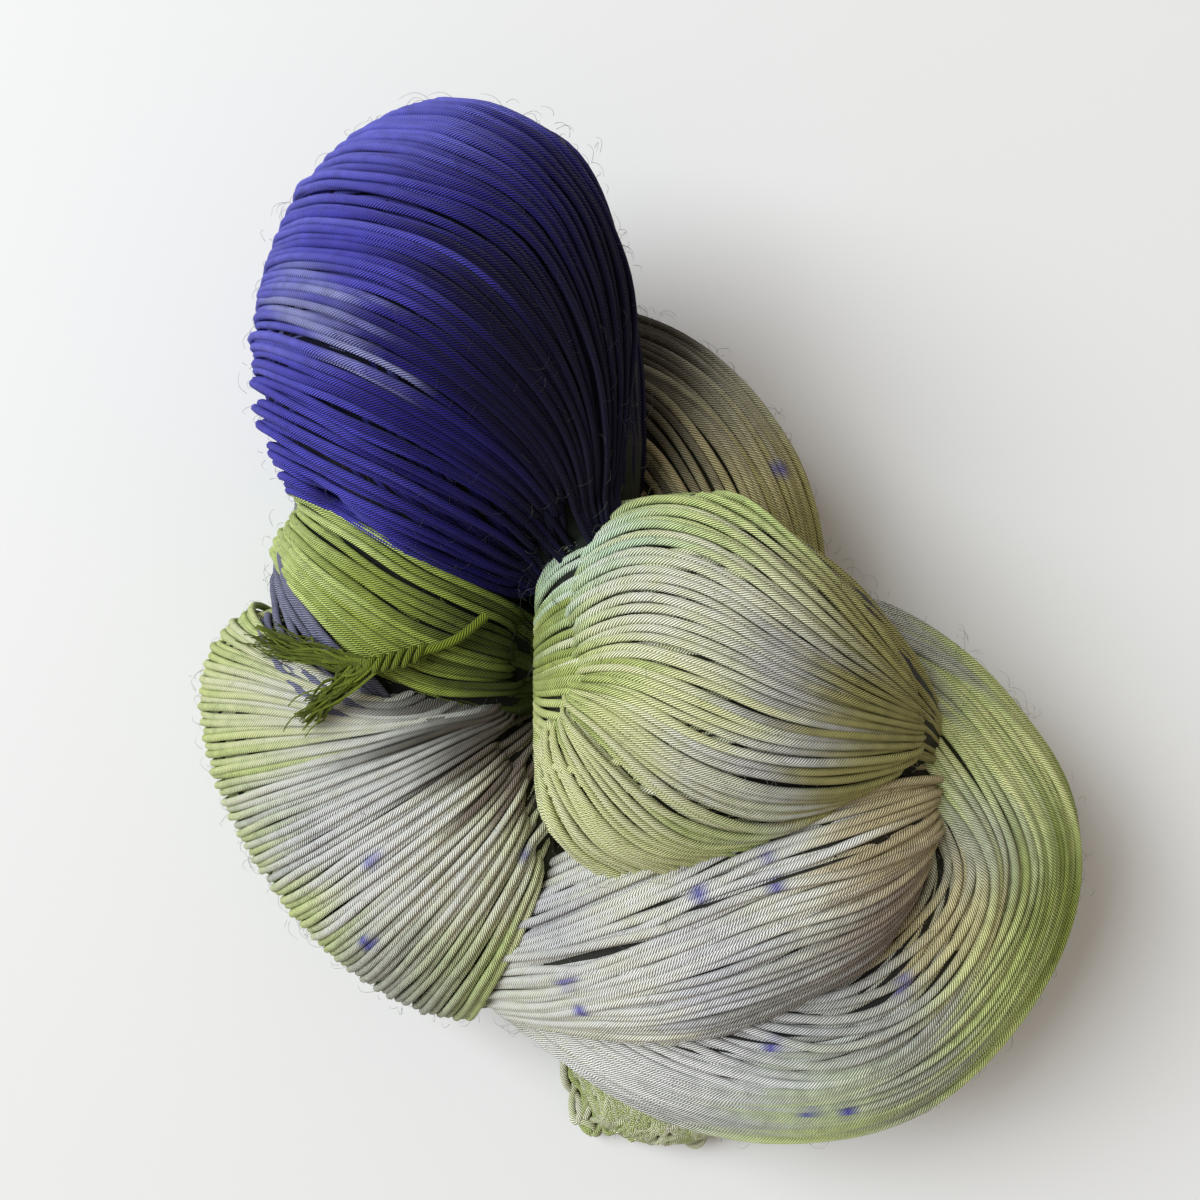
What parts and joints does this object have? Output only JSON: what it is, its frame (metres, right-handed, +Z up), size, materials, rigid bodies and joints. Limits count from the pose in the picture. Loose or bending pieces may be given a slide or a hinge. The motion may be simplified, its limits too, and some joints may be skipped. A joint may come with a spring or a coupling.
{
  "type": "skein of yarn",
  "caption": "Plump skein of hand-dyed plied yarn, twisted and coiled into a bun of overlapping bundles, with a knotted yarn tie and two short frayed tails.",
  "frame": {"origin": "bottom centre of the whole object's box, on the table the skein rests on", "axes": "+Z up; +Y from the slack loops in front towards the tall violet bundle, the longest extent; +X to the right"},
  "size_m": [0.1554, 0.1832, 0.0858],
  "materials": {
    "yarn": "soft plied wool, hand dyed in violet, green, cream and grey lilac",
    "tie_yarn": "soft plied wool, moss green"
  },
  "bodies": {
    "root": {"skein": "yarn", "tie": "tie_yarn"}
  },
  "joints": []
}
